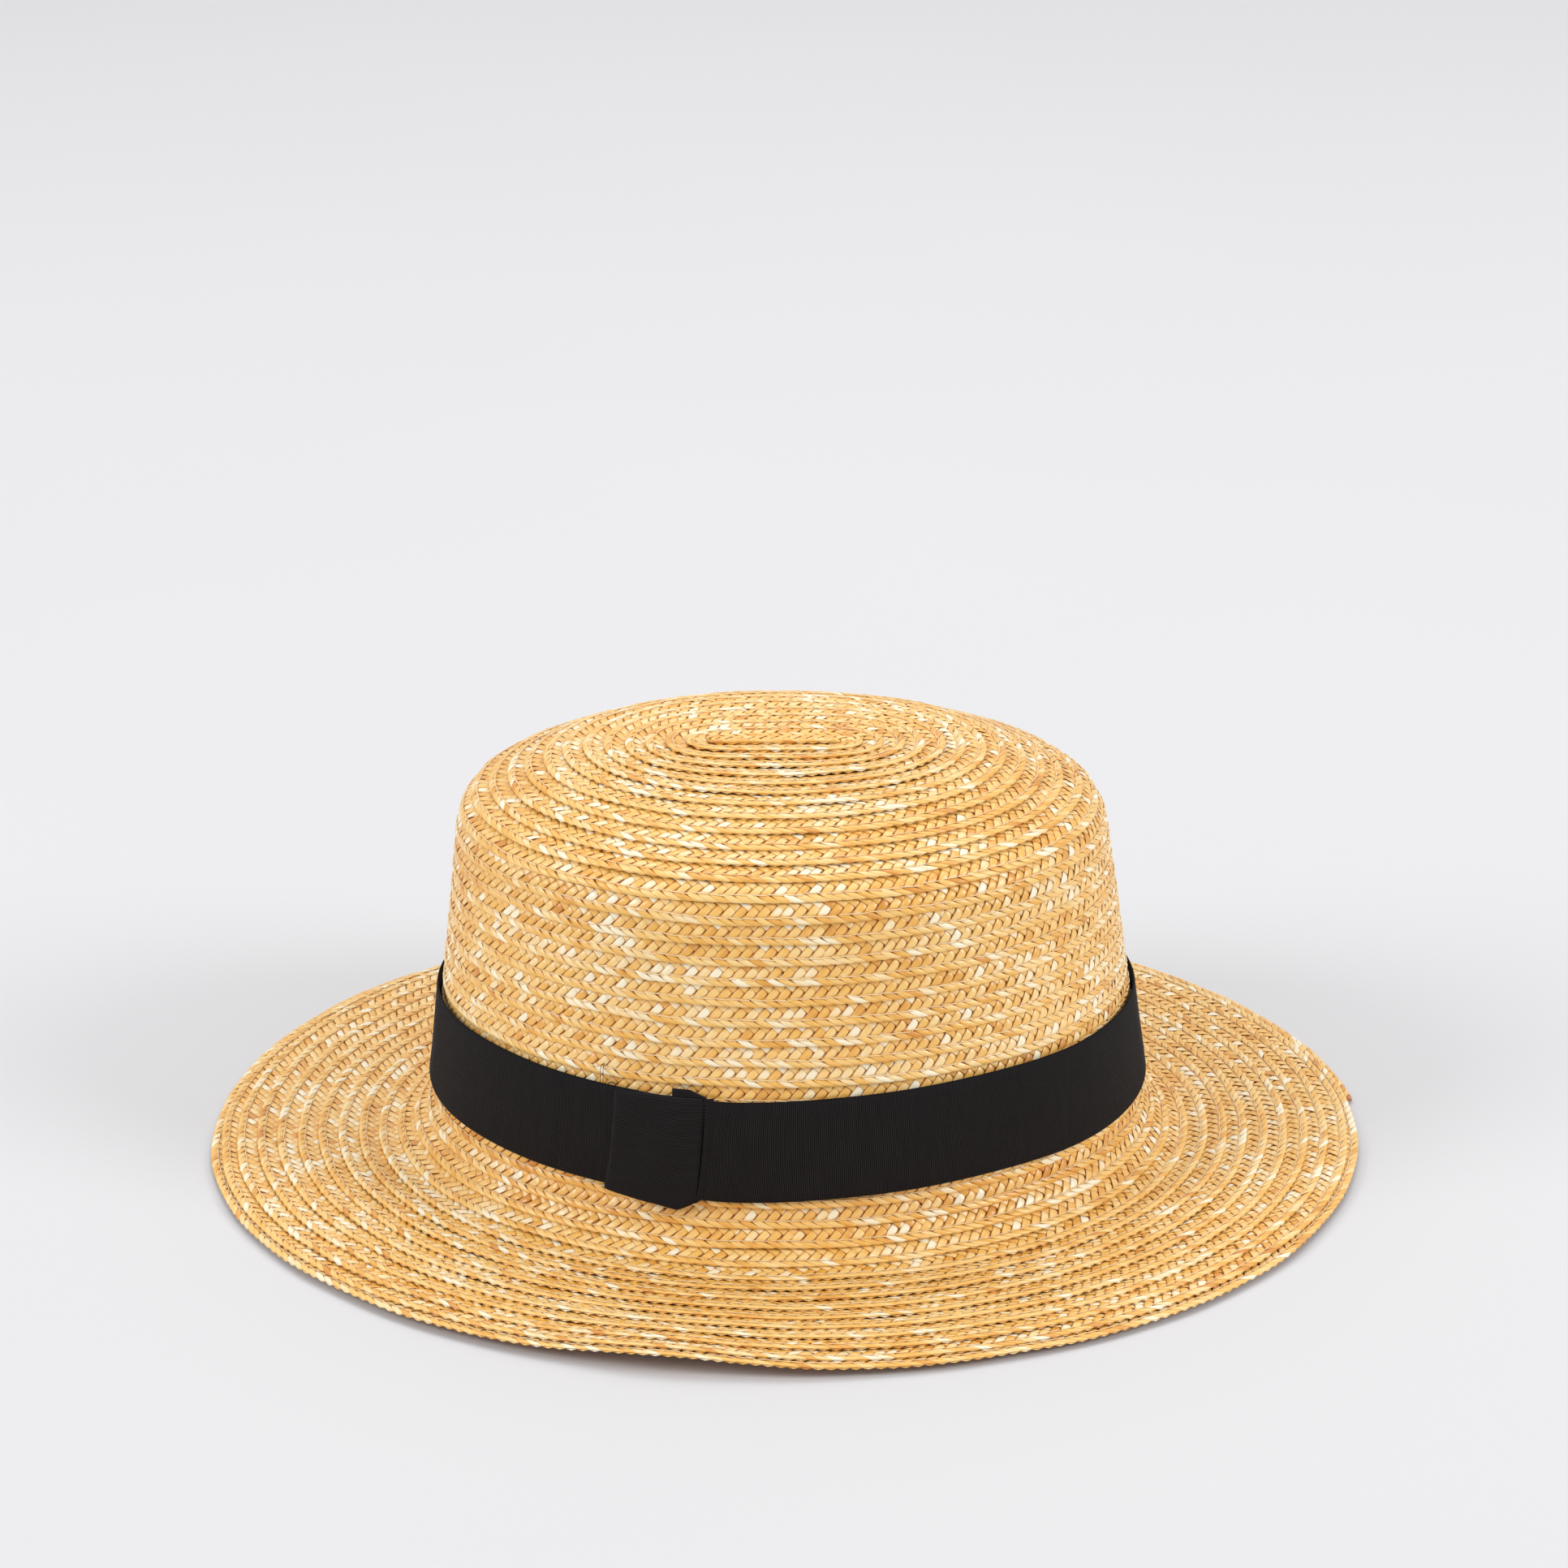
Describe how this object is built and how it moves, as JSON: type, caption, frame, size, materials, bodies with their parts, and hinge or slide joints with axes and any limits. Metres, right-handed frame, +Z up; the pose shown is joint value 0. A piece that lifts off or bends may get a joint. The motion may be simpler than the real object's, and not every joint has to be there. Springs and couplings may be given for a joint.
{
  "type": "straw hat",
  "caption": "Straw sun hat with a low rounded crown, a flat brim sewn in a spiral of plait, and a dark ribbon with a tab.",
  "frame": {"origin": "middle of the hat's outline on the surface that the brim edge stands on", "axes": "+Z up through the middle of the tip; the wearer faces -X; -Y is the wearer's left, where the ribbon's tab is"},
  "size_m": [0.3269, 0.292, 0.1212],
  "materials": {
    "wheat_straw": "glossy split-free wheat straw, golden",
    "black_grosgrain": "matt ribbed ribbon",
    "ecru_grosgrain": "matt ribbed ribbon",
    "cream_thread": "spun thread",
    "black_thread": "spun thread"
  },
  "bodies": {
    "root": {"tip_start": "wheat_straw", "tip_course_01": "wheat_straw", "tip_course_02": "wheat_straw", "tip_course_03": "wheat_straw", "tip_course_04": "wheat_straw", "tip_course_05": "wheat_straw", "tip_course_06": "wheat_straw", "tip_course_07": "wheat_straw", "tip_course_08": "wheat_straw", "tip_course_09": "wheat_straw", "tip_course_10": "wheat_straw", "tip_course_11": "wheat_straw", "shoulder_course_01": "wheat_straw", "shoulder_course_02": "wheat_straw", "shoulder_course_03": "wheat_straw", "shoulder_course_04": "wheat_straw", "wall_course_01": "wheat_straw", "wall_course_02": "wheat_straw", "wall_course_03": "wheat_straw", "wall_course_04": "wheat_straw", "wall_course_05": "wheat_straw", "wall_course_06": "wheat_straw", "wall_course_07": "wheat_straw", "wall_course_08": "wheat_straw", "wall_course_09": "wheat_straw", "wall_course_10": "wheat_straw", "wall_course_11": "wheat_straw", "wall_course_12": "wheat_straw", "brim_break_course_01": "wheat_straw", "brim_break_course_02": "wheat_straw", "brim_break_course_03": "wheat_straw", "brim_break_course_04": "wheat_straw", "brim_break_course_05": "wheat_straw", "brim_course_01": "wheat_straw", "brim_course_02": "wheat_straw", "brim_course_03": "wheat_straw", "brim_course_04": "wheat_straw", "brim_course_05": "wheat_straw", "brim_course_06": "wheat_straw", "brim_course_07": "wheat_straw", "brim_course_08": "wheat_straw", "brim_edge_course": "wheat_straw", "brim_edge_thread": "cream_thread", "ribbon_band": "black_grosgrain", "ribbon_tab": "black_grosgrain", "ribbon_tack_thread": "black_thread", "sweatband": "ecru_grosgrain", "sweatband_thread": "cream_thread"}
  },
  "joints": []
}
